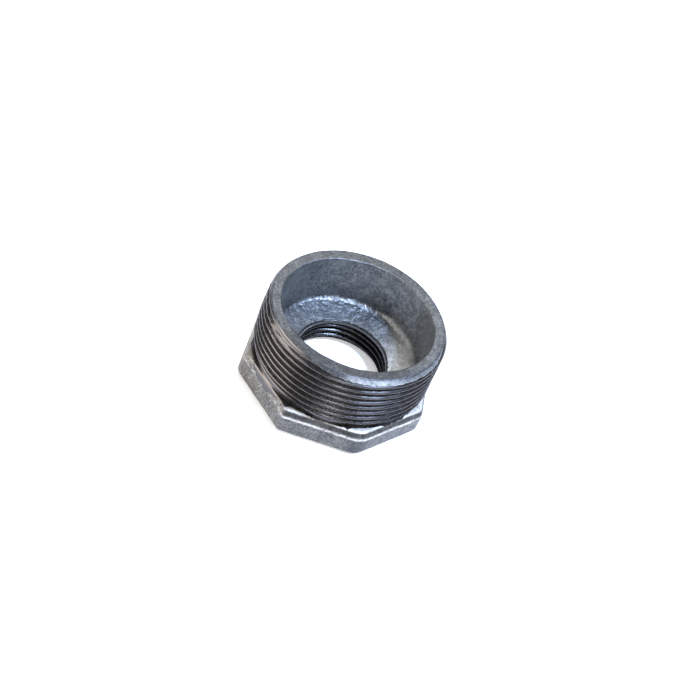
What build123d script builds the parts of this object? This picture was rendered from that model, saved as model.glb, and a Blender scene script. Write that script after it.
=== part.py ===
"""Screwed reducing bush with an octagonal head: R 2 male taper thread outside, Rp 1 female thread inside.

The bush is one casting.  It is written here as the five zones that it is made in, which meet face to
face: octagon_head, male_barrel, male_thread, reducing_web and female_thread.

Frame: millimetres, origin at the centre of the head's flat face, +Z along the common thread axis
towards the rim of the male end.  Two of the wrench flats face +X and -X.
"""

import os
from math import atan, cos, degrees

from build123d import *

# Overall
TOTAL_HEIGHT = 30.7          # head face to rim
HEAD_HEIGHT = 9.6            # head face to the foot of the male thread

# Octagonal head
HEAD_FLATS = 61.0            # across flats
HEAD_CORNER_R = 4.0          # cast rounding of the eight corners, seen from above
HEAD_BAND = 7.3              # height of the upright part of each flat
HEAD_SHOULDER = 1.6          # how far the steep shoulder runs in from the flats
HEAD_EDGE_R = 1.6            # cast rounding round the head's flat face

# Whitworth pipe threads, 11 to the inch
PITCH = 25.4 / 11
THREAD_DEPTH = 0.640327 * PITCH
CREST_WIDTH = 0.45           # flat that stands for the rounded crest
ROOT_WIDTH = PITCH - CREST_WIDTH
FADED_DEPTH = 0.12           # what is left of a ridge where it dies out

# Male thread, R 2: 1 in 16 taper on diameter, so 1 in 32 on radius
MALE_CREST_R = 29.31         # crest radius at the rim
MALE_TAPER = 1 / 32
MALE_RUNOUT_Z = 11.4         # where the lowest turn dies out above the head
MALE_RUNOUT_TURNS = 1.0
RIM_OUTER_R = 27.7           # outside of the flat rim, inside the lead-in chamfer
RIM_CHAMFER_H = 2.0          # height of the lead-in chamfer

# Cup and web
CUP_RIM_R = 24.2             # inside of the cup at the rim
CUP_FLOOR_R = 24.4           # inside of the cup at its floor
CUP_LIP_R = 0.8              # rounding of the cup's mouth
FLOOR_OUTER_Z = 12.6         # height of the web where it meets the cup wall
FLOOR_INNER_Z = 10.4         # height of the web at the bore

# Female thread, Rp 1, parallel
FEMALE_MINOR_R = 15.1455     # crest radius
FEMALE_MAJOR_R = FEMALE_MINOR_R + THREAD_DEPTH
FEMALE_LAND_Z = 8.4          # the thread stops here, and plain tapping bore runs on to the web
FEMALE_ENTRY_R = 17.2        # mouth of the 45 degree lead-in at the head's face
FEMALE_ENTRY_TURNS = 0.5

# Height of a crest on the +X side, less whole turns, which sets where each thread starts
MALE_CREST_Z = 0.93
FEMALE_CREST_Z = 2.26


def male_crest_r(z):
    """Crest radius of the male thread at height z."""
    return MALE_CREST_R + (TOTAL_HEIGHT - z) * MALE_TAPER


def male_root_r(z):
    """Root radius of the male thread at height z, which is the outside of the barrel."""
    return male_crest_r(z) - THREAD_DEPTH


# The lead-in chamfer crosses the thread root a little below the rim
CHAMFER_SLOPE = (male_crest_r(TOTAL_HEIGHT - RIM_CHAMFER_H) - RIM_OUTER_R) / RIM_CHAMFER_H
CHAMFER_FOOT_Z = TOTAL_HEIGHT - (male_root_r(TOTAL_HEIGHT) - RIM_OUTER_R) / (
    CHAMFER_SLOPE - MALE_TAPER
)


def turned(*points):
    """Solid of revolution about Z of the closed outline through (radius, z) points."""
    outline = Polyline(*[(r, 0, z) for r, z in points], close=True)
    return revolve(make_face(outline), Axis.Z)


def helix_between(start, end, first_turn, turns):
    """Right-hand conical helix from one (radius, z) point to another, over a number of turns."""
    (start_r, start_z), (end_r, end_z) = start, end
    rise = end_z - start_z
    cone = atan((end_r - start_r) / rise)
    slant_pitch = rise / turns / cos(cone)
    helix = Edge.make_helix(slant_pitch, rise, start_r, (0, 0, start_z), (0, 0, 1), degrees(cone))
    return helix.rotate(Axis.Z, 360 * first_turn)


def ridge_section(centre_z, depth, root_r, outward):
    """The four (radius, z) corners of a ridge cut down to the given depth."""
    flank_run = (ROOT_WIDTH - CREST_WIDTH) / 2 / THREAD_DEPTH
    crest_half = CREST_WIDTH / 2 + (THREAD_DEPTH - depth) * flank_run
    heights = [
        centre_z - ROOT_WIDTH / 2,
        centre_z - crest_half,
        centre_z + crest_half,
        centre_z + ROOT_WIDTH / 2,
    ]
    lifts = [0, depth * outward, depth * outward, 0]
    return [(root_r(z) + lift, z) for z, lift in zip(heights, lifts)]


def helical_ridge(stations, crest_z, root_r, outward):
    """Ridge through (centre z, depth) stations, its faces ruled between helices at its corners.

    crest_z is the height of any crest on the +X side.  outward is 1 outside a wall, -1 inside one.
    """
    sections = [ridge_section(z, depth, root_r, outward) for z, depth in stations]
    spans = zip(stations, stations[1:], sections, sections[1:])
    faces = []
    for (low_z, _), (high_z, _), low, high in spans:
        first_turn = (low_z - crest_z) / PITCH
        turns = (high_z - low_z) / PITCH
        edges = [helix_between(a, b, first_turn, turns) for a, b in zip(low, high)]
        faces += [
            Face.make_surface_from_curves(edge, following)
            for edge, following in zip(edges, edges[1:] + edges[:1])
        ]
        if low is sections[0]:
            faces.append(Face(Wire.make_polygon([edge @ 0 for edge in edges])))
    faces.append(Face(Wire.make_polygon([edge @ 1 for edge in edges])))
    return Solid(Shell(faces))


def stations_between(first, full_from, full_to, last):
    """Stations one turn apart from full_from to full_to, with a faded one beyond each end."""
    whole_turns = int((full_to - full_from) / PITCH)
    full = [full_from + turn * PITCH for turn in range(whole_turns + 1)] + [full_to]
    return (
        [(first, FADED_DEPTH)] + [(z, THREAD_DEPTH) for z in full] + [(last, FADED_DEPTH)]
    )


def octagon_head():
    """Wrench collar: the octagon outside the web's cylinder, with a sloping shoulder on top."""
    octagon = RegularPolygon(HEAD_FLATS / 2, 8, major_radius=False, rotation=22.5)
    block = extrude(fillet(octagon.vertices(), HEAD_CORNER_R), HEAD_HEIGHT)
    top_edges = block.faces().sort_by(Axis.Z)[-1].edges()
    block = chamfer(top_edges, HEAD_SHOULDER, HEAD_HEIGHT - HEAD_BAND)
    block = fillet(block.faces().sort_by(Axis.Z)[0].edges(), HEAD_EDGE_R)
    core = Cylinder(CUP_FLOOR_R, HEAD_HEIGHT, align=(Align.CENTER, Align.CENTER, Align.MIN))
    return block - core


def male_barrel():
    """Wall of the cup above the head, tapered outside as the root of the male thread."""
    tube = turned(
        (CUP_FLOOR_R, HEAD_HEIGHT),
        (male_root_r(HEAD_HEIGHT), HEAD_HEIGHT),
        (male_root_r(CHAMFER_FOOT_Z), CHAMFER_FOOT_Z),
        (RIM_OUTER_R, TOTAL_HEIGHT),
        (CUP_RIM_R, TOTAL_HEIGHT),
        (CUP_FLOOR_R, FLOOR_OUTER_Z),
    )
    rim_edges = tube.edges().filter_by(GeomType.CIRCLE).group_by(Axis.Z)[-1]
    return fillet(rim_edges.sort_by(SortBy.RADIUS)[0], CUP_LIP_R)


def male_thread():
    """Ridge of the R 2 thread, from its runout above the head to the rim's chamfer."""
    first = MALE_RUNOUT_Z + ROOT_WIDTH / 2
    last = CHAMFER_FOOT_Z - ROOT_WIDTH / 2
    stations = stations_between(
        first,
        first + MALE_RUNOUT_TURNS * PITCH,
        TOTAL_HEIGHT - RIM_CHAMFER_H - CREST_WIDTH / 2,
        last,
    )
    return helical_ridge(stations, MALE_CREST_Z, male_root_r, 1)


def reducing_web():
    """Annular wall between the cup and the bore, with the female thread's wall through it."""
    return turned(
        (FEMALE_ENTRY_R, 0),
        (CUP_FLOOR_R, 0),
        (CUP_FLOOR_R, FLOOR_OUTER_Z),
        (FEMALE_MINOR_R, FLOOR_INNER_Z),
        (FEMALE_MINOR_R, FEMALE_LAND_Z),
        (FEMALE_MAJOR_R, FEMALE_LAND_Z),
        (FEMALE_MAJOR_R, FEMALE_ENTRY_R - FEMALE_MAJOR_R),
    )


def female_thread():
    """Ridge of the Rp 1 thread, from the lead-in at the head's face to the plain land."""
    first = FEMALE_ENTRY_R - FEMALE_MAJOR_R + ROOT_WIDTH / 2
    last = FEMALE_LAND_Z - ROOT_WIDTH / 2
    stations = stations_between(first, first + FEMALE_ENTRY_TURNS * PITCH, last, last)[:-1]
    return helical_ridge(stations, FEMALE_CREST_Z, lambda z: FEMALE_MAJOR_R, -1)


NODES = {
    "octagon_head": octagon_head,
    "male_barrel": male_barrel,
    "male_thread": male_thread,
    "reducing_web": reducing_web,
    "female_thread": female_thread,
}

if __name__ == "__main__":
    os.makedirs("parts", exist_ok=True)
    for name, make in NODES.items():
        export_step(make(), f"parts/{name}.step")
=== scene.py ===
"""Looks of a galvanised reducing bush: an octagonal head, a male taper thread, a cup and a female thread.

Lengths in this script are in millimetres, and are turned into metres when a mesh or a lamp is made.
Angles round the bush are in radians from +X, anticlockwise seen from above.
"""

from math import atan2, cos, exp, pi, radians, sin, tan

import bmesh
import bpy
import numpy as np
from mathutils import Matrix, Vector, noise


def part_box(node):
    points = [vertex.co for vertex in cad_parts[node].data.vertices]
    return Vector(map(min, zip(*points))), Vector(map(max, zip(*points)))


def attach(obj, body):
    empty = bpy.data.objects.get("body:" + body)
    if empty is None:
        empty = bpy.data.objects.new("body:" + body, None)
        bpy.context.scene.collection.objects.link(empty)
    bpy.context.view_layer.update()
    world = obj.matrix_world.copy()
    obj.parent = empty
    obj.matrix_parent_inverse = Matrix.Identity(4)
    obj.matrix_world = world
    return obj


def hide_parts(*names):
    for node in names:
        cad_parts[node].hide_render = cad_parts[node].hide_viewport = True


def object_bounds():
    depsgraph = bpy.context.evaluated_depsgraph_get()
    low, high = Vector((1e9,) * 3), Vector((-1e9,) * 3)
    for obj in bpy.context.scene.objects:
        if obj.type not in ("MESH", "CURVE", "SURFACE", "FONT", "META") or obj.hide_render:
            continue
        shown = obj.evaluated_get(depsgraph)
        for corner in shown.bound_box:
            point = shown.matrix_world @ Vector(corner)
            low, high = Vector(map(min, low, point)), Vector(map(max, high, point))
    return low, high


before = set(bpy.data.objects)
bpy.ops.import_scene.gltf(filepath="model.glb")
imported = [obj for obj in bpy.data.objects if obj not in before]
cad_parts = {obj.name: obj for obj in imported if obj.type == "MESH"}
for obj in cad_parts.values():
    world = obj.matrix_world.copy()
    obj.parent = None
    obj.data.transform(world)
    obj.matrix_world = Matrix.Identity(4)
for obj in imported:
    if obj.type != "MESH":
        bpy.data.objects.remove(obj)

MM = 0.001
CAD_LOW, CAD_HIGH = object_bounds()


# ---------------------------------------------------------------- sizes

def top_corner(name):
    """Highest corner of a CAD node's box, in millimetres."""
    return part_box(name)[1] / MM


HEAD_HIGH = top_corner("octagon_head")
WEB_HIGH = top_corner("reducing_web")

# Head
APOTHEM = HEAD_HIGH.x                  # half the width across the flats
HEAD_TOP = HEAD_HIGH.z                 # foot of the neck below the male thread
BAND_TOP = 7.3                         # top of the upright part of the flats
FACE_EDGE_R = 1.6                      # rounding round the head's flat face
CORNER_R = 4.0                         # rounding of the head's corners, seen from above
WORN_CORNER = radians(292.5)
ODD_CORNERS = (                        # angle and rounding of the two that are not like the rest
    (WORN_CORNER, 7.0),
    (radians(247.5), 2.0),
)
CRISP_SIDE = radians(302)              # the shoulder kept its shape on this side
SHOULDER_NOTCHES = (                   # angle, width and depth of the die's cuts into the shoulder
    (radians(245.0), 0.045, 1.5),
    (radians(284.5), 0.030, 0.9),
)

# How far in from the flats the head's side is at each height: crisp on one side, worn elsewhere
SIDE_HEIGHTS = np.array([2.0, 4.0, 5.6, 6.9, 7.3, 7.7, 8.1, 8.5, 8.9, 9.2, 9.42, 9.54, 9.6])
CRISP_INSETS = np.array([0, 0, 0, 0.0, 0.10, 0.32, 0.58, 0.84, 1.10, 1.30, 1.50, 1.75, 2.2])
WORN_INSETS = np.array([0, 0.12, 0.35, 0.68, 0.80, 0.94, 1.08, 1.24, 1.42, 1.60, 1.80, 2.02, 2.4])

# Cup and rim
RIM_Z = CAD_HIGH.z / MM                # top of the bush
RIM_OUTER_R = 27.7                     # outer edge of the flat ring on top of the rim
RIM_CHAMFER_H = 2.0                    # lead-in chamfer from there down to the thread's crests
LIP_R = 0.6                            # rounding of the rim's inner edge
CUP_R = WEB_HIGH.x                     # inside of the cup at its floor
FLOOR_OUTER_Z = WEB_HIGH.z             # web where it meets the cup wall
FLOOR_INNER_Z = 10.4                   # web at the bore
ZINC_SIDE = radians(300)               # the rim's chamfer kept its zinc on this side

# Threads
PITCH = 25.4 / 11
THREAD_DEPTH = 0.640327 * PITCH
ROUND_R = 0.137329 * PITCH             # rounding of the Whitworth crests and roots
FLANK_ANGLE = radians(27.5)
ROUND_HALF = ROUND_R * cos(FLANK_ANGLE)    # half the height of such a rounding

MALE_CREST_R = 29.31                   # at the rim
MALE_TAPER = 1 / 32
MALE_CREST_Z = 1.22                    # height of a crest on the +X side, less whole turns
RUNOUT_Z = 11.0                        # the lowest turn grows out of the neck from here
RUNOUT_RISE = 1.6
WORN_SIDE = radians(208)               # the top turns are worn on this side

FEMALE_MINOR_R = 15.1455
FEMALE_MAJOR_R = FEMALE_MINOR_R + THREAD_DEPTH
FEMALE_CREST_Z = 2.26
FEMALE_ENTRY_R = 17.2                  # mouth of the bore's lead-in, in the head's face
LAND_Z = 8.6                           # plain bore from here up to the web

# Meshes
COLUMNS = 480                          # columns of every mesh round the bush
ANGLES = np.linspace(0, 2 * pi, COLUMNS, endpoint=False)
TURN_ANGLES = np.linspace(0, 2 * pi, COLUMNS + 1)
MERGE_DISTANCE = 0.002                 # points this close are one point
SHORTEST_EDGE = 0.00001


# ---------------------------------------------------------------- shares and outlines

def smooth(value, start, end):
    """0 before start, 1 after end, and a smooth step between."""
    share = np.clip((value - start) / (end - start), 0, 1)
    return share * share * (3 - 2 * share)


def bell(value, centre, width):
    """1 at the centre, falling to 0 a few widths away."""
    return exp(-(((value - centre) / width) ** 2))


def beside(angle, centre, full, none):
    """1 within full degrees of the centre, falling smoothly to 0 at none degrees from it."""
    return smooth(np.cos(angle - centre), cos(radians(none)), cos(radians(full)))


def angle_of(point):
    return atan2(point.y, point.x)


def ring_noise(scale, seed, angle=ANGLES, height=0.0):
    """Smooth noise from -1 to 1 round the bush, with features about scale wide at the thread."""
    radius = MALE_CREST_R / scale
    heights = np.broadcast_to(height, angle.shape)
    return np.array(
        [
            noise.noise(Vector((radius * cos(a), radius * sin(a), seed + h / scale)))
            for a, h in zip(angle, heights)
        ]
    )


def octagon_r(angle, inset=0.0):
    """Radius of the head's rounded octagon at an angle, moved in by inset."""
    apothem = APOTHEM - inset
    corner_r = np.full_like(angle, CORNER_R)
    for corner, rounding in ODD_CORNERS:
        corner_r = np.where(np.cos(angle - corner) > cos(pi / 8), rounding, corner_r)
    corner_r = np.maximum(corner_r - inset, 0.4)
    from_flat = (angle + pi / 8) % (pi / 4) - pi / 8
    from_corner = pi / 8 - np.abs(from_flat)
    centre = (apothem - corner_r) / cos(pi / 8)
    rounded = centre * np.cos(from_corner) + np.sqrt(
        np.maximum(corner_r**2 - (centre * np.sin(from_corner)) ** 2, 0)
    )
    half_flat = (apothem - corner_r) * tan(pi / 8)
    on_flat = np.abs(np.tan(from_flat)) * apothem <= half_flat
    return np.where(on_flat, apothem / np.cos(from_flat), rounded)


def head_side(angle, height):
    """Inset of the head's side at one height, for every angle."""
    crisp = beside(angle, CRISP_SIDE, 54, 63)
    heights = SIDE_HEIGHTS - SIDE_HEIGHTS[-1] + HEAD_TOP
    crisp_inset = np.interp(height, heights, CRISP_INSETS)
    worn_inset = np.interp(height, heights, WORN_INSETS)
    return crisp * crisp_inset + (1 - crisp) * worn_inset


def shoulder_z(angles, radius):
    """Height of the head's shoulder at each angle and radius."""
    heights = np.linspace(BAND_TOP - 1.5, HEAD_TOP, 60)
    insets = np.array([head_side(angles, height) for height in heights])
    wanted = octagon_r(angles) - radius
    return np.array([np.interp(w, column, heights) for w, column in zip(wanted, insets.T)])


def male_crest_r(height):
    """Radius of the male thread's crests at a height."""
    return MALE_CREST_R + (RIM_Z - height) * MALE_TAPER


def chamfer_r(height):
    """Radius of the lead-in chamfer round the rim."""
    slope = (male_crest_r(RIM_Z - RIM_CHAMFER_H) - RIM_OUTER_R) / RIM_CHAMFER_H
    return RIM_OUTER_R + (RIM_Z - height) * slope


def zinc_foot_z(angles):
    """Where the zinc on the rim's chamfer ends and the cut thread begins."""
    depth = 0.25 + 1.15 * beside(angles, ZINC_SIDE, 31.8, 56.6)
    return RIM_Z - depth * (1 + 0.15 * ring_noise(1.2, 17.0, angles))


def cup_mouth_r(angle):
    """Inside of the rim: the core sat a little off centre and was not quite round."""
    return 24.1 - 0.45 * np.sin(angle) + 0.4 * np.cos(2 * angle)


def floor_z(radius):
    """Height of the cup's sloping floor."""
    slope = (FLOOR_OUTER_Z - FLOOR_INNER_Z) / (CUP_R - FEMALE_MINOR_R)
    return FLOOR_INNER_Z + (radius - FEMALE_MINOR_R) * slope


def thread_height(offset):
    """Height of a Whitworth ridge above its root, at an offset from the crest's centre."""
    offset = np.abs((offset + PITCH / 2) % PITCH - PITCH / 2)
    crest = THREAD_DEPTH - ROUND_R + np.sqrt(np.maximum(ROUND_R**2 - offset**2, 0))
    root_offset = PITCH / 2 - offset
    root = ROUND_R - np.sqrt(np.maximum(ROUND_R**2 - root_offset**2, 0))
    flank = THREAD_DEPTH / 2 + (PITCH / 4 - offset) / tan(FLANK_ANGLE)
    return np.where(offset < ROUND_HALF, crest, np.where(root_offset < ROUND_HALF, root, flank))


def male_r(angles, height):
    """Outside of the male thread, with its runout, its worn turns and the rim's chamfer."""
    crest_r = male_crest_r(height)
    root_r = crest_r - THREAD_DEPTH
    offset = height - MALE_CREST_Z - angles / (2 * pi) * PITCH
    grown = smooth(height, RUNOUT_Z, RUNOUT_Z + RUNOUT_RISE)
    worn = 0.30 * smooth(height, 21, 29) * beside(angles, WORN_SIDE, 0, 60)
    tears = ring_noise(5.0, 14.0, angles, height) + 0.5 * ring_noise(1.6, 15.0, angles, height)
    kept = 1 - worn * (1.2 + 0.5 * tears) - 0.04 * (1 + tears)
    radius = root_r + thread_height(offset) * grown * np.clip(kept, 0.15, 1)
    return np.minimum(radius, chamfer_r(height) - 0.07)


def female_r(angles, height):
    """Inside of the female thread, with the lead-in and the plain land above it."""
    offset = height - FEMALE_CREST_Z - angles / (2 * pi) * PITCH
    faded = 1 - smooth(height, LAND_Z - 0.3, LAND_Z + 0.4)
    groove = (THREAD_DEPTH - thread_height(offset)) * faded
    return np.maximum(FEMALE_MINOR_R + groove, FEMALE_ENTRY_R - height)


# ---------------------------------------------------------------- meshes

def ring(radius, height, angles=ANGLES):
    """One ring of points from a radius and a height, each a number or one value per column."""
    radius = np.broadcast_to(radius, angles.shape)
    height = np.broadcast_to(height, angles.shape)
    return np.stack([radius * np.cos(angles), radius * np.sin(angles), height], axis=1)


def helical_rings(low_z, high_z, crest_z, radius_at):
    """Rings that follow the thread's helix between two heights, dense at crests and roots."""
    fine = [0, 0.15, ROUND_HALF, PITCH / 4, PITCH / 2 - ROUND_HALF, PITCH / 2 - 0.14]
    offsets = sorted(fine + [-value for value in fine[1:]] + [PITCH / 2])
    first_turn = int((low_z - crest_z) / PITCH) - 2
    last_turn = int((np.max(high_z) - crest_z) / PITCH) + 2
    rings = []
    for turn in range(first_turn, last_turn + 1):
        for offset in offsets:
            height = crest_z + (turn + TURN_ANGLES / (2 * pi)) * PITCH + offset
            height = np.clip(height, low_z, high_z)
            rings.append(ring(radius_at(TURN_ANGLES, height), height, TURN_ANGLES))
    return rings


def mesh_from_rings(name, rings):
    """Object with a closed mesh through rings of points; the last ring joins the first.

    A plain ring closes on itself. A helical ring has one point more, a pitch above its first,
    and merging the doubled points joins it to the ring one turn up.
    """
    columns = len(rings[0])
    faces = []
    for row in range(len(rings)):
        this, following = row * columns, (row + 1) % len(rings) * columns
        for column in range(COLUMNS):
            next_column = (column + 1) % columns
            faces.append(
                (this + column, this + next_column, following + next_column, following + column)
            )
    mesh = bpy.data.meshes.new(name)
    mesh.from_pydata((np.concatenate(rings) * MM).tolist(), [], faces)
    cleaner = bmesh.new()
    cleaner.from_mesh(mesh)
    bmesh.ops.remove_doubles(cleaner, verts=cleaner.verts, dist=MERGE_DISTANCE * MM)
    bmesh.ops.dissolve_degenerate(cleaner, edges=cleaner.edges, dist=SHORTEST_EDGE * MM)
    bmesh.ops.recalc_face_normals(cleaner, faces=cleaner.faces)
    cleaner.to_mesh(mesh)
    cleaner.free()
    mesh.shade_smooth()
    piece = bpy.data.objects.new(name, mesh)
    bpy.context.scene.collection.objects.link(piece)
    return piece


def displace(piece, amount):
    """Moves each point along its normal by amount(point in mm, normal), in millimetres."""
    mesh = piece.data
    normals = [vertex.normal.copy() for vertex in mesh.vertices]
    for vertex, normal in zip(mesh.vertices, normals):
        vertex.co += normal * (amount(vertex.co / MM, normal) * MM)
    mesh.update()


def paint(piece, name, share_at):
    """Point attribute that a material reads, from share_at(point in mm), kept between 0 and 1."""
    mesh = piece.data
    layer = mesh.attributes.new(name, "FLOAT", "POINT")
    shares = [min(1.0, max(0.0, share_at(vertex.co / MM))) for vertex in mesh.vertices]
    layer.data.foreach_set("value", shares)


def casting_lumps(point, coarse, fine):
    """Uneven skin of a hot-dip galvanised casting, in millimetres."""
    wide = noise.noise(point / 6.0)
    middle = noise.noise(point / 1.9 + Vector((7, 3, 1)))
    small = noise.noise(point / 0.75 + Vector((2, 9, 4)))
    return coarse * wide + coarse * 0.5 * middle + fine * small


# ---------------------------------------------------------------- pieces

def make_head():
    """Octagonal wrench collar, with the head's whole flat face."""
    neck_r = male_crest_r(HEAD_TOP) - THREAD_DEPTH
    rings = [ring(radius, 0.0) for radius in (FEMALE_ENTRY_R + 0.1, 20.0, 24.0)]
    rings.append(ring(octagon_r(ANGLES, FACE_EDGE_R + 1.5), 0.0))
    for step in np.linspace(0, pi / 2, 9):
        inset = FACE_EDGE_R * (1 - sin(step))
        rings.append(ring(octagon_r(ANGLES, inset), FACE_EDGE_R * (1 - cos(step))))
    outline = octagon_r(ANGLES)
    band = np.linspace(FACE_EDGE_R, BAND_TOP - 0.6, 12)[1:]
    shoulder = np.linspace(BAND_TOP - 0.5, HEAD_TOP - 0.4, 16)
    shoulder_edge = HEAD_TOP - np.array([0.28, 0.18, 0.10, 0.05, 0.02, 0.0])
    for height in np.concatenate([band, shoulder, shoulder_edge]):
        rings.append(ring(np.maximum(outline - head_side(ANGLES, height), neck_r - 0.3), height))
    hidden = ((27.5, HEAD_TOP - 0.3), (25.2, HEAD_TOP - 0.3), (25.2, 0.8), (17.8, 0.8))
    rings += [ring(radius, height) for radius, height in hidden]
    head = mesh_from_rings("octagon_head_casting", rings)
    dents = ring_noise(7.0, 21.0)

    def skin(point, normal):
        if point.xy.length < 26.5 or point.z < 0.3:
            return 0.0
        lumps = casting_lumps(point, 0.10, 0.04)
        if normal.z >= 0.5:
            return 0.5 * lumps - 0.03
        column = int(round(angle_of(point) / (2 * pi) * COLUMNS)) % COLUMNS
        on_band = max(0.0, 1 - abs(point.z - BAND_TOP) / 1.6)
        dent = 0.16 * on_band * max(0.0, dents[column])
        return min(lumps, 0.05) - 0.06 - dent

    # Painted highlight: white, less metallic lines along the lower ridge at BAND_TOP and along the head's
    # top edge, strongest at the front, standing in for glints on the ridges.
    def painted_highlight(point):
        dashes = 0.5 + 1.3 * noise.noise(point / 0.7)
        in_front = beside(angle_of(point), CRISP_SIDE, 50, 60)
        lower = bell(point.z, BAND_TOP + 0.08, 0.34) * (0.35 + dashes)
        upper = smooth(point.z, HEAD_TOP - 0.50, HEAD_TOP - 0.2) * (0.8 + 0.8 * dashes)
        return (0.15 + 0.85 * in_front) * max(lower, upper)

    # Painted shade: darker on the shoulder's sloping band and just under the lower ridge at the front, near
    # the worn bottom corner, and on the lower flats at the right.
    def shade_and_stain(point):
        angle = angle_of(point)
        in_front = beside(angle, CRISP_SIDE, 50, 60)
        on_shoulder = 0.6 * bell(point.z, 8.5, 0.65) * in_front
        below_ridge = 0.45 * bell(point.z, BAND_TOP - 0.9, 0.8) * in_front
        at_corner = 0.75 * beside(angle, WORN_CORNER, 1.72, 9.17)
        at_right = 0.22 * beside(angle, radians(305), 30, 60)
        on_flats = max(at_corner, at_right) * (1 - smooth(point.z, 6.5, 7.5))
        return max(on_shoulder, below_ridge, on_flats)

    displace(head, skin)
    paint(head, "shade_and_stain", shade_and_stain)
    paint(head, "painted_highlight", painted_highlight)
    return head


def cup_rings():
    """Rings from the bore's top edge over the floor, up the wall, over the rim and down its chamfer."""
    edge_r = 15.58 + 0.20 * ring_noise(2.2, 4.0) + 0.28 * ring_noise(0.9, 9.0)
    mouth_r = cup_mouth_r(ANGLES) + 0.12 * ring_noise(5, 31.0)
    fillet_r = 2.0 + 1.8 * beside(ANGLES, radians(10), 25.8, 78.5)
    fillet_r += 0.5 * ring_noise(4, 12.0) + 0.35 * ring_noise(1.5, 13.0)
    rings = [
        ring(17.0, 1.0),
        ring(17.0, 9.4),
        ring(edge_r + 0.9, FLOOR_INNER_Z - 0.55),
        ring(edge_r + 0.03, FLOOR_INNER_Z - 0.35),
        ring(edge_r, FLOOR_INNER_Z - 0.12),
        ring(edge_r + 0.08, floor_z(edge_r)),
    ]
    floor_end = CUP_R - fillet_r
    for share in np.linspace(0.03, 1, 34):
        radius = edge_r + (floor_end - edge_r) * share
        rings.append(ring(radius, floor_z(radius)))
    for step in np.linspace(0, pi / 2, 10)[1:]:
        height = floor_z(floor_end) + fillet_r * (1 - cos(step))
        rings.append(ring(floor_end + fillet_r * sin(step), height))
    wall_start = floor_z(floor_end) + fillet_r
    for share in np.linspace(0, 1, 48)[1:]:
        height = wall_start + (RIM_Z - LIP_R - wall_start) * share
        rings.append(ring(CUP_R + (mouth_r - CUP_R) * share**1.3, height))
    for step in np.linspace(0, pi / 2, 8)[1:]:
        rings.append(ring(mouth_r + LIP_R * (1 - cos(step)), RIM_Z - LIP_R * (1 - sin(step))))
    rim_start = mouth_r + LIP_R
    rim_end = RIM_OUTER_R - 0.1 + 0.10 * ring_noise(1.5, 3.0)
    for share in np.linspace(0.15, 1, 8):
        rings.append(ring(rim_start + (rim_end - rim_start) * share, RIM_Z))
    foot_z = zinc_foot_z(ANGLES)
    for share in np.linspace(0.12, 1, 6):
        height = RIM_Z + (foot_z - RIM_Z) * share
        rings.append(ring(chamfer_r(height), height))
    rings.append(ring(chamfer_r(foot_z) - 0.25, foot_z - 0.08))
    hidden = ((26.8, RIM_Z - RIM_CHAMFER_H), (26.8, 9.3), (24.5, 9.0), (24.5, 1.0))
    return rings + [ring(radius, height) for radius, height in hidden]


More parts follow.
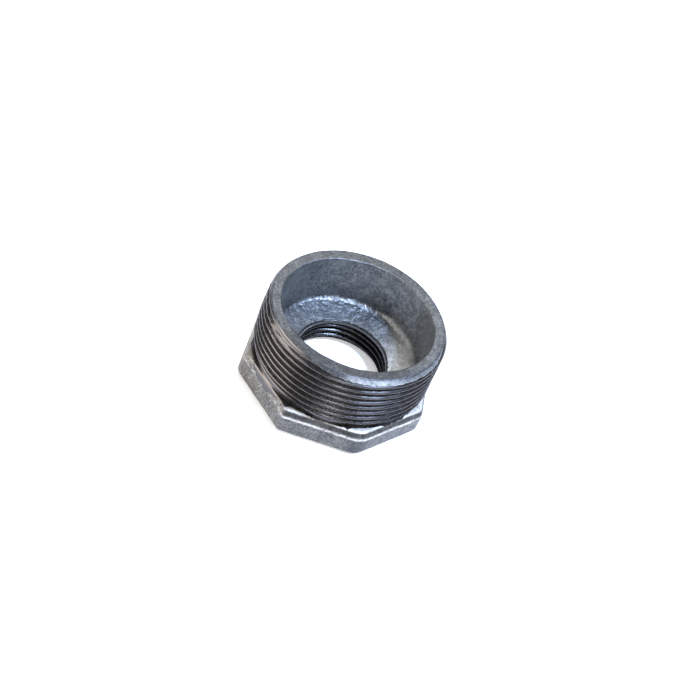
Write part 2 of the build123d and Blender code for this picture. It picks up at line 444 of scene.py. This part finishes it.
def make_cup():
    """Cup wall, rim, chamfer and web floor: what the moulding sand and its core shaped."""
    cup = mesh_from_rings("cup_casting", cup_rings())

    def skin(point, normal):
        radius = point.xy.length
        hidden = radius > 26.7 and point.z < RIM_Z - 1.8
        if hidden or point.z < FLOOR_INNER_Z - 0.2:
            return 0.0
        if point.z > RIM_Z - 2:
            if radius > RIM_OUTER_R - 3:
                return min(0.0, casting_lumps(point, 0.06, 0.06) - 0.03)
            room_above = (RIM_Z - point.z) / max(normal.z, 0.05)
            return min(casting_lumps(point, 0.10, 0.03), room_above)
        on_floor = max(0.0, min(1.0, (CUP_R + 0.5 - radius) / 2))
        to_back = max(0.0, point.y / CUP_R)
        near_wall = max(0.0, 1 - abs(radius - CUP_R + 1.5) / 3) * on_floor
        runs = near_wall * to_back * 0.45 * noise.noise(point / 1.3 + Vector((5, 5, 5)))
        return casting_lumps(point, 0.10 + 0.10 * on_floor, 0.04) + runs

    # Painted highlights: a bright wavy line along the floor's fillet at the back, where zinc pooled;
    # painted light that makes the floor's right-hand part paler; and bright patches on the rim's chamfer at
    # the front.
    def painted_cup_highlights(point):
        radius = point.xy.length
        ripples = 0.5 + 1.3 * noise.noise(point / 0.8)
        line = bell(radius, CUP_R - 0.9, 0.8) * bell(point.z, FLOOR_OUTER_Z + 0.5, 0.8)
        at_back = 0.7 * line * ripples * smooth(point.y / CUP_R, 0.6, 0.9)
        on_floor = 1 - smooth(point.z, FLOOR_OUTER_Z, FLOOR_OUTER_Z + 1.5)
        at_right = 0.26 * on_floor * smooth(point.x / CUP_R, 0.45, 0.75)
        on_chamfer = smooth(radius, RIM_OUTER_R, RIM_OUTER_R + 0.4) * (0.5 + ripples)
        in_front = 0.42 * on_chamfer * beside(angle_of(point), radians(291), 9, 24)
        return max(at_back, at_right, in_front)

    # Painted shade on the rim, darkest at the front and along its outer edge and lighter on the right, on
    # the floor except at the right, and on the chamfer's front-left part; the streak on the wall at the
    # back is a real stain.
    def shade_and_stain(point):
        radius, angle = point.xy.length, angle_of(point)
        in_front = 0.42 * smooth(-point.y / radius, 0.5, 0.9)
        at_right = 0.14 * smooth(point.x / radius, 0.6, 0.95)
        at_edge = 0.4 * bell(radius, RIM_OUTER_R - 0.05, 0.22)
        on_rim = smooth(point.z, RIM_Z - 0.5, RIM_Z - 0.2) * (0.70 + in_front - at_right + at_edge)
        stain_angle = radians(67.5 + 1.6 * (point.z - 19))
        stain = 1.3 * bell(angle, stain_angle, 0.07) * bell(point.z, 19.0, 3.0)
        stain *= 0.5 + 1.2 * noise.noise(point / 1.6)
        on_floor = 0.62 * (1 - smooth(point.z, FLOOR_OUTER_Z, FLOOR_OUTER_Z + 2.5))
        on_floor *= 1 - smooth(point.x / CUP_R, 0.2, 0.6)
        on_chamfer = 0.8 * smooth(radius, RIM_OUTER_R - 0.2, RIM_OUTER_R + 0.2)
        on_chamfer *= beside(angle, radians(245), 24, 36)
        return max(on_rim, stain, on_floor, on_chamfer)

    displace(cup, skin)
    paint(cup, "shade_and_stain", shade_and_stain)
    paint(cup, "painted_highlight", painted_cup_highlights)
    return cup


def make_male_thread():
    """Sleeve of bare metal that the die cut: thread, neck and the shaved foot on the shoulder."""
    angles = TURN_ANGLES
    low_z = HEAD_TOP + 0.02
    high_z = zinc_foot_z(angles) + 0.12
    shaved = 29.2 + 0.30 * ring_noise(4.0, 5.0, angles) + 0.30 * ring_noise(1.0, 8.0, angles)
    shaved += 0.6 * beside(angles, WORN_SIDE, 30, 50)
    for centre, width, depth in SHOULDER_NOTCHES:
        shaved += depth * np.exp(-(((angles - centre) / width) ** 2))
    shaved = np.minimum(shaved, octagon_r(angles) - 0.3)
    foot_r = male_r(angles, np.full_like(angles, low_z))
    rings = [ring(shaved + 0.05, shoulder_z(angles, shaved) - 0.25, angles)]
    for share in (1.0, 0.85, 0.7, 0.55, 0.4, 0.2):
        radius = foot_r + (shaved - foot_r) * share
        rings.append(ring(radius, shoulder_z(angles, radius) + 0.03, angles))
    rings += helical_rings(low_z, high_z, MALE_CREST_Z, male_r)
    rings.append(ring(chamfer_r(high_z) - 0.4, high_z - 0.1, angles))
    hidden = ((27.0, high_z - 0.5), (27.0, HEAD_TOP - 0.9))
    rings += [ring(radius, height, angles) for radius, height in hidden]
    sleeve = mesh_from_rings("male_thread_cut", rings)

    def crest_share(point):
        root_r = male_crest_r(point.z) - THREAD_DEPTH
        return (point.xy.length - root_r) / THREAD_DEPTH if point.z > RUNOUT_Z else 0.0

    paint(sleeve, "crest_share", crest_share)
    return sleeve


def make_female_thread():
    """Sleeve of bare metal that the tap cut, with the land and the bore's ragged top edge."""
    angles = TURN_ANGLES
    top_z = FLOOR_INNER_Z - 0.35
    burr = 0.16 * ring_noise(1.1, 6.0, angles) + 0.14 * ring_noise(0.5, 7.0, angles)
    rings = helical_rings(0.0, top_z, FEMALE_CREST_Z, female_r)
    rings.append(ring(FEMALE_MINOR_R + 0.12 + burr, top_z + 0.22 + burr, angles))
    rings.append(ring(FEMALE_MINOR_R + 0.5, top_z + 0.26, angles))
    hidden = ((16.4, top_z + 0.02), (17.4, 9.0), (17.4, 0.0))
    rings += [ring(radius, height, angles) for radius, height in hidden]
    sleeve = mesh_from_rings("female_thread_cut", rings)

    def crest_share(point):
        return (FEMALE_MAJOR_R - point.xy.length) / THREAD_DEPTH

    paint(sleeve, "crest_share", crest_share)
    return sleeve


# ---------------------------------------------------------------- materials

class Nodes:
    """Short names for building one material's node tree; positions are in millimetres."""

    def __init__(self, name, seed):
        self.material = bpy.data.materials.new(name)
        self.material.use_nodes = True
        self.tree = self.material.node_tree
        self.shader = self.tree.nodes["Principled BSDF"]
        coordinates = self.tree.nodes.new("ShaderNodeTexCoord")
        in_millimetres = self.mapped(coordinates.outputs["Object"], scale=(1 / MM,) * 3)
        self.place = self.mapped(in_millimetres, shift=(seed, seed * 2, seed * 3))

    def node(self, kind, **settings):
        made = self.tree.nodes.new("ShaderNode" + kind)
        for key, value in settings.items():
            setattr(made, key, value)
        return made

    def link(self, source, target):
        self.tree.links.new(source, target)

    def feed(self, socket, value):
        """Gives a socket a number, a colour or another node's output."""
        if isinstance(value, (int, float)):
            socket.default_value = value
        elif isinstance(value, tuple):
            socket.default_value = (*value, 1)
        else:
            self.link(value, socket)

    def attribute(self, name):
        return self.node("Attribute", attribute_name=name).outputs["Fac"]

    def mapped(self, vector, scale=(1, 1, 1), shift=(0, 0, 0)):
        mapping = self.node("Mapping")
        mapping.inputs["Location"].default_value = shift
        mapping.inputs["Scale"].default_value = scale
        self.link(vector, mapping.inputs["Vector"])
        return mapping.outputs["Vector"]

    def noise(self, size, detail, rough, vector=None):
        """Noise with features about size millimetres wide."""
        made = self.node("TexNoise")
        made.inputs["Scale"].default_value = 1 / size
        made.inputs["Detail"].default_value = detail
        made.inputs["Roughness"].default_value = rough
        self.link(vector or self.place, made.inputs["Vector"])
        return made.outputs["Fac"]

    def dots(self, size, full, none):
        """Scattered round dots about size millimetres apart: 1 up to full from each centre, 0 past none."""
        made = self.node("TexVoronoi", feature="F1")
        made.inputs["Scale"].default_value = 1 / size
        self.link(self.place, made.inputs["Vector"])
        return self.ramp(made.outputs["Distance"], [(0.0, 1.0), (full, 1.0), (none, 0.0)])

    def ramp(self, value, stops):
        """Colour or grey ramp from (position, value) stops."""
        made = self.node("ValToRGB")
        elements = made.color_ramp.elements
        while len(elements) < len(stops):
            elements.new(0.5)
        for element, (position, colour) in zip(elements, stops):
            element.position = position
            shade = colour if isinstance(colour, tuple) else (colour,) * 3
            element.color = (*shade, 1)
        self.link(value, made.inputs["Fac"])
        return made.outputs["Color"]

    def mix(self, factor, first, second):
        made = self.node("Mix", data_type="RGBA", blend_type="MIX")
        for index, value in ((0, factor), (6, first), (7, second)):
            self.feed(made.inputs[index], value)
        return made.outputs[2]

    def math(self, operation, first, second):
        made = self.node("Math", operation=operation)
        self.feed(made.inputs[0], first)
        self.feed(made.inputs[1], second)
        return made.outputs[0]

    def bump(self, height, depth, below=None):
        """Bump of a height field from 0 to 1, depth millimetres deep."""
        made = self.node("Bump")
        made.inputs["Strength"].default_value = 1.0
        made.inputs["Distance"].default_value = depth * MM
        self.link(height, made.inputs["Height"])
        if below is not None:
            self.link(below, made.inputs["Normal"])
        return made.outputs["Normal"]

    def finish(self, metallic, colour, roughness, normal):
        self.feed(self.shader.inputs["Metallic"], metallic)
        self.link(colour, self.shader.inputs["Base Color"])
        self.link(roughness, self.shader.inputs["Roughness"])
        self.link(normal, self.shader.inputs["Normal"])
        return self.material


def galvanised(name, dark, light, seed):
    """Weathered zinc on a rough casting, with pits, grain and spangles, painted shade and a stain from one
    attribute, and painted highlights that turn surfaces white.
    """
    n = Nodes(name, seed)
    edges = n.attribute("painted_highlight")
    middle = tuple((a + b) / 2 for a, b in zip(dark, light))
    black = tuple(0.18 * c for c in dark)
    white = tuple(min(0.95, 3.7 * c) for c in light)
    shade_and_stain_colour = (0.045, 0.045, 0.047)

    clouds = n.noise(4.5, 5, 0.62)
    base = n.ramp(clouds, [(0.30, dark), (0.5, middle), (0.70, light)])
    mottle = n.noise(0.9, 4, 0.65)
    mottled = n.mix(n.ramp(mottle, [(0.36, 0.7), (0.5, 0.0)]), base, dark)
    mottled = n.mix(n.ramp(mottle, [(0.52, 0.0), (0.66, 0.65)]), mottled, light)
    grain = n.noise(0.45, 3, 0.7)
    specked = n.mix(n.ramp(grain, [(0.33, 0.65), (0.43, 0.0)]), mottled, black)
    specked = n.mix(n.ramp(grain, [(0.62, 0.0), (0.70, 0.45)]), specked, white)
    pit_places = n.ramp(n.noise(3.0, 2, 0.5), [(0.50, 0.0), (0.58, 0.9)])
    pits = n.math("MULTIPLY", n.dots(1.3, 0.12, 0.20), pit_places)
    pitted = n.mix(pits, specked, black)
    spangle_places = n.ramp(n.noise(2.2, 3, 0.6), [(0.40, 0.8), (0.46, 0.0)])
    spangles = n.math("MULTIPLY", n.dots(0.8, 0.14, 0.22), spangle_places)
    spangled = n.mix(spangles, pitted, white)
    # Darkening from the attribute: painted shade wherever it is set, and a real stain on the cup's wall.
    shade_and_stain_share = n.math("MULTIPLY", n.attribute("shade_and_stain"), n.ramp(mottle, [(0.35, 1.0), (0.65, 0.76)]))
    shaded_and_stained = n.mix(shade_and_stain_share, spangled, shade_and_stain_colour)
    # Painted highlight: the colour goes white where that attribute is set, and the metal turns less
    # metallic and smoother there.
    colour = n.mix(n.math("MULTIPLY", edges, 0.85), shaded_and_stained, white)

    metallic = n.math("SUBTRACT", 0.75, n.math("MULTIPLY", edges, 0.5))
    uneven = n.ramp(n.noise(1.2, 4, 0.6), [(0.3, 0.28), (0.7, 0.52)])
    roughness = n.mix(edges, uneven, (0.2, 0.2, 0.2))
    relief = n.bump(n.noise(2.0, 4, 0.55), 0.22)
    relief = n.bump(mottle, 0.12, relief)
    relief = n.bump(grain, 0.07, relief)
    relief = n.bump(n.math("SUBTRACT", 1.0, pits), 0.14, relief)
    return n.finish(metallic, colour, roughness, relief)


def cut_metal(name, groove, crest, seed):
    """Bare metal cut by a die or a tap: grooves darkened as painted shade, oil smears, crests lighter from
    rubbing and from painted highlight, fine lines and bright nicks.
    """
    n = Nodes(name, seed)
    lift = n.attribute("crest_share")
    worn = tuple(min(1.0, 2.2 * c) for c in crest)
    smears = n.noise(6.0, 4, 0.6)
    lines = n.noise(0.2, 3, 0.6, n.mapped(n.place, scale=(0.05, 0.05, 1)))
    grain = n.noise(0.3, 3, 0.7)
    oil = n.math("MULTIPLY", n.math("SUBTRACT", smears, 0.5), 0.9)
    # Painted shade: darkest at the roots and lightest at the crests; slight on the male thread, strong in
    # the female thread's grooves.
    base = n.ramp(n.math("ADD", lift, oil), [(0.25, groove), (0.9, crest)])
    lined = n.mix(n.ramp(lines, [(0.45, 0.0), (0.7, 0.5)]), base, crest)
    # Crest tips lighter: rubbing wear, and painted highlight for the glints along the crests.
    rubbed_and_highlit = n.mix(n.ramp(lift, [(0.93, 0.0), (0.99, 0.25)]), lined, worn)
    colour = n.mix(n.ramp(grain, [(0.71, 0.0), (0.78, 0.7)]), rubbed_and_highlit, worn)
    roughness = n.ramp(n.noise(2.0, 4, 0.6), [(0.3, 0.20), (0.7, 0.31)])
    relief = n.bump(lines, 0.010)
    relief = n.bump(grain, 0.014, relief)
    return n.finish(0.9, colour, roughness, relief)


def plain_floor():
    """White paper that glows a little, so that it stays as pale as the backdrop."""
    material = bpy.data.materials.new("pale_floor")
    material.use_nodes = True
    sockets = material.node_tree.nodes["Principled BSDF"].inputs
    sockets["Base Color"].default_value = (0.86, 0.86, 0.86, 1)
    sockets["Roughness"].default_value = 0.9
    sockets["Specular IOR Level"].default_value = 0.0
    sockets["Emission Color"].default_value = (1, 1, 1, 1)
    sockets["Emission Strength"].default_value = 0.45
    return material


# ---------------------------------------------------------------- stage

def make_floor():
    bpy.ops.mesh.primitive_plane_add(size=6, location=(0, 0, 0))
    floor = bpy.context.object
    floor.name = "floor"
    floor.data.materials.append(plain_floor())


def direction(azimuth, elevation):
    """Unit vector from an azimuth and an elevation in degrees."""
    turn, rise = radians(azimuth), radians(elevation)
    return Vector((cos(turn) * cos(rise), sin(turn) * cos(rise), sin(rise)))


def area_light(name, towards, distance, size, power, colour):
    """Square soft lamp at a distance in metres, in a direction, aimed at the bush."""
    lamp = bpy.data.objects.new(name, bpy.data.lights.new(name, "AREA"))
    lamp.data.size = size
    lamp.data.energy = power
    lamp.data.color = colour
    place = Vector((0, 0, RIM_Z / 2)) * MM + towards * distance
    turn = towards.to_track_quat("Z", "Y").to_matrix().to_4x4()
    lamp.matrix_world = Matrix.Translation(place) @ turn
    bpy.context.scene.collection.objects.link(lamp)


def make_world():
    """Studio that is brightest behind and above the bush; the camera sees a pale backdrop instead."""
    world = bpy.data.worlds.new("studio")
    world.use_nodes = True
    nodes, links = world.node_tree.nodes, world.node_tree.links
    coordinates = nodes.new("ShaderNodeTexCoord")
    towards_back = nodes.new("ShaderNodeVectorMath")
    towards_back.operation = "DOT_PRODUCT"
    towards_back.inputs[1].default_value = direction(84, 28)
    ramp = nodes.new("ShaderNodeValToRGB")
    stops = ((0.0, 0.06), (0.42, 0.09), (0.80, 0.42), (1.0, 0.52))
    elements = ramp.color_ramp.elements
    while len(elements) < len(stops):
        elements.new(0.5)
    for element, (position, grey) in zip(elements, stops):
        element.position = position
        element.color = (grey * 0.97, grey * 0.99, grey, 1)
    light_path = nodes.new("ShaderNodeLightPath")
    seen = nodes.new("ShaderNodeMix")
    seen.data_type = "RGBA"
    seen.inputs[7].default_value = (0.9, 0.9, 0.9, 1)
    links.new(coordinates.outputs["Generated"], towards_back.inputs[0])
    links.new(towards_back.outputs["Value"], ramp.inputs["Fac"])
    links.new(light_path.outputs["Is Camera Ray"], seen.inputs[0])
    links.new(ramp.outputs["Color"], seen.inputs[6])
    links.new(seen.outputs[2], nodes["Background"].inputs["Color"])
    bpy.context.scene.world = world


def make_lights():
    """A cool skylight and windows at the front and the right, and warm lamps at the left and behind."""
    make_world()
    area_light("window", direction(316, 30), 0.6, 0.12, 0.4, (0.72, 0.83, 1.0))
    area_light("skylight", direction(342, 67), 0.6, 0.09, 7.0, (0.50, 0.66, 1.0))
    area_light("front_window", direction(276, 55), 0.6, 0.10, 0.5, (0.90, 0.94, 1.0))
    area_light("room_lamp", direction(200, 13), 0.7, 0.55, 5.6, (1.0, 0.96, 0.92))
    area_light("overhead", direction(100, 60), 0.9, 0.50, 4.0, (1.0, 0.99, 0.96))


def make_camera():
    """Camera that looks down on the bush from the front, leaning to its left."""
    back = direction(-96.10, 43.96)
    lean = radians(-22.90)
    aim = Vector((1.60, -2.08, RIM_Z / 2)) * MM
    distance = 255.42 * MM
    right = Vector((0, 0, 1)).cross(back).normalized()
    up = back.cross(right)
    leaning_up = up * cos(lean) + right * sin(lean)
    leaning_right = leaning_up.cross(back)
    camera = bpy.data.objects.new("camera", bpy.data.cameras.new("camera"))
    turn = Matrix((leaning_right, leaning_up, back)).transposed()
    camera.matrix_world = Matrix.Translation(aim + back * distance) @ turn.to_4x4()
    camera.data.sensor_width = 36
    camera.data.lens = 41.14
    camera.data.clip_start = 0.01
    bpy.context.scene.collection.objects.link(camera)
    bpy.context.scene.camera = camera


# ---------------------------------------------------------------- scene

def add_piece(piece, material, slot, *nodes):
    """Gives a piece its material and its body, and hides the CAD nodes that it replaces; the slot is not
    used.
    """
    piece.data.materials.append(material)
    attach(piece, "root")
    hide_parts(*nodes)


add_piece(
    make_head(),
    galvanised("galvanised_head", (0.071, 0.066, 0.058), (0.232, 0.214, 0.188), 3.0),
    "galvanised_head",
    "octagon_head",
)
add_piece(
    make_cup(),
    galvanised("galvanised_cup", (0.120, 0.126, 0.128), (0.355, 0.360, 0.352), 11.0),
    "galvanised_cup",
    "male_barrel",
    "reducing_web",
)
add_piece(
    make_male_thread(),
    cut_metal("cut_male_thread", (0.099, 0.091, 0.088), (0.106, 0.097, 0.092), 5.0),
    "cut_male_thread",
    "male_thread",
)
add_piece(
    make_female_thread(),
    # Groove colour far darker than crest colour: painted shade in the bore's grooves.
    cut_metal("cut_female_thread", (0.014, 0.013, 0.013), (0.050, 0.047, 0.045), 8.0),
    "cut_female_thread",
    "female_thread",
)
make_floor()
make_lights()
make_camera()
bpy.context.scene.view_settings.view_transform = "Standard"
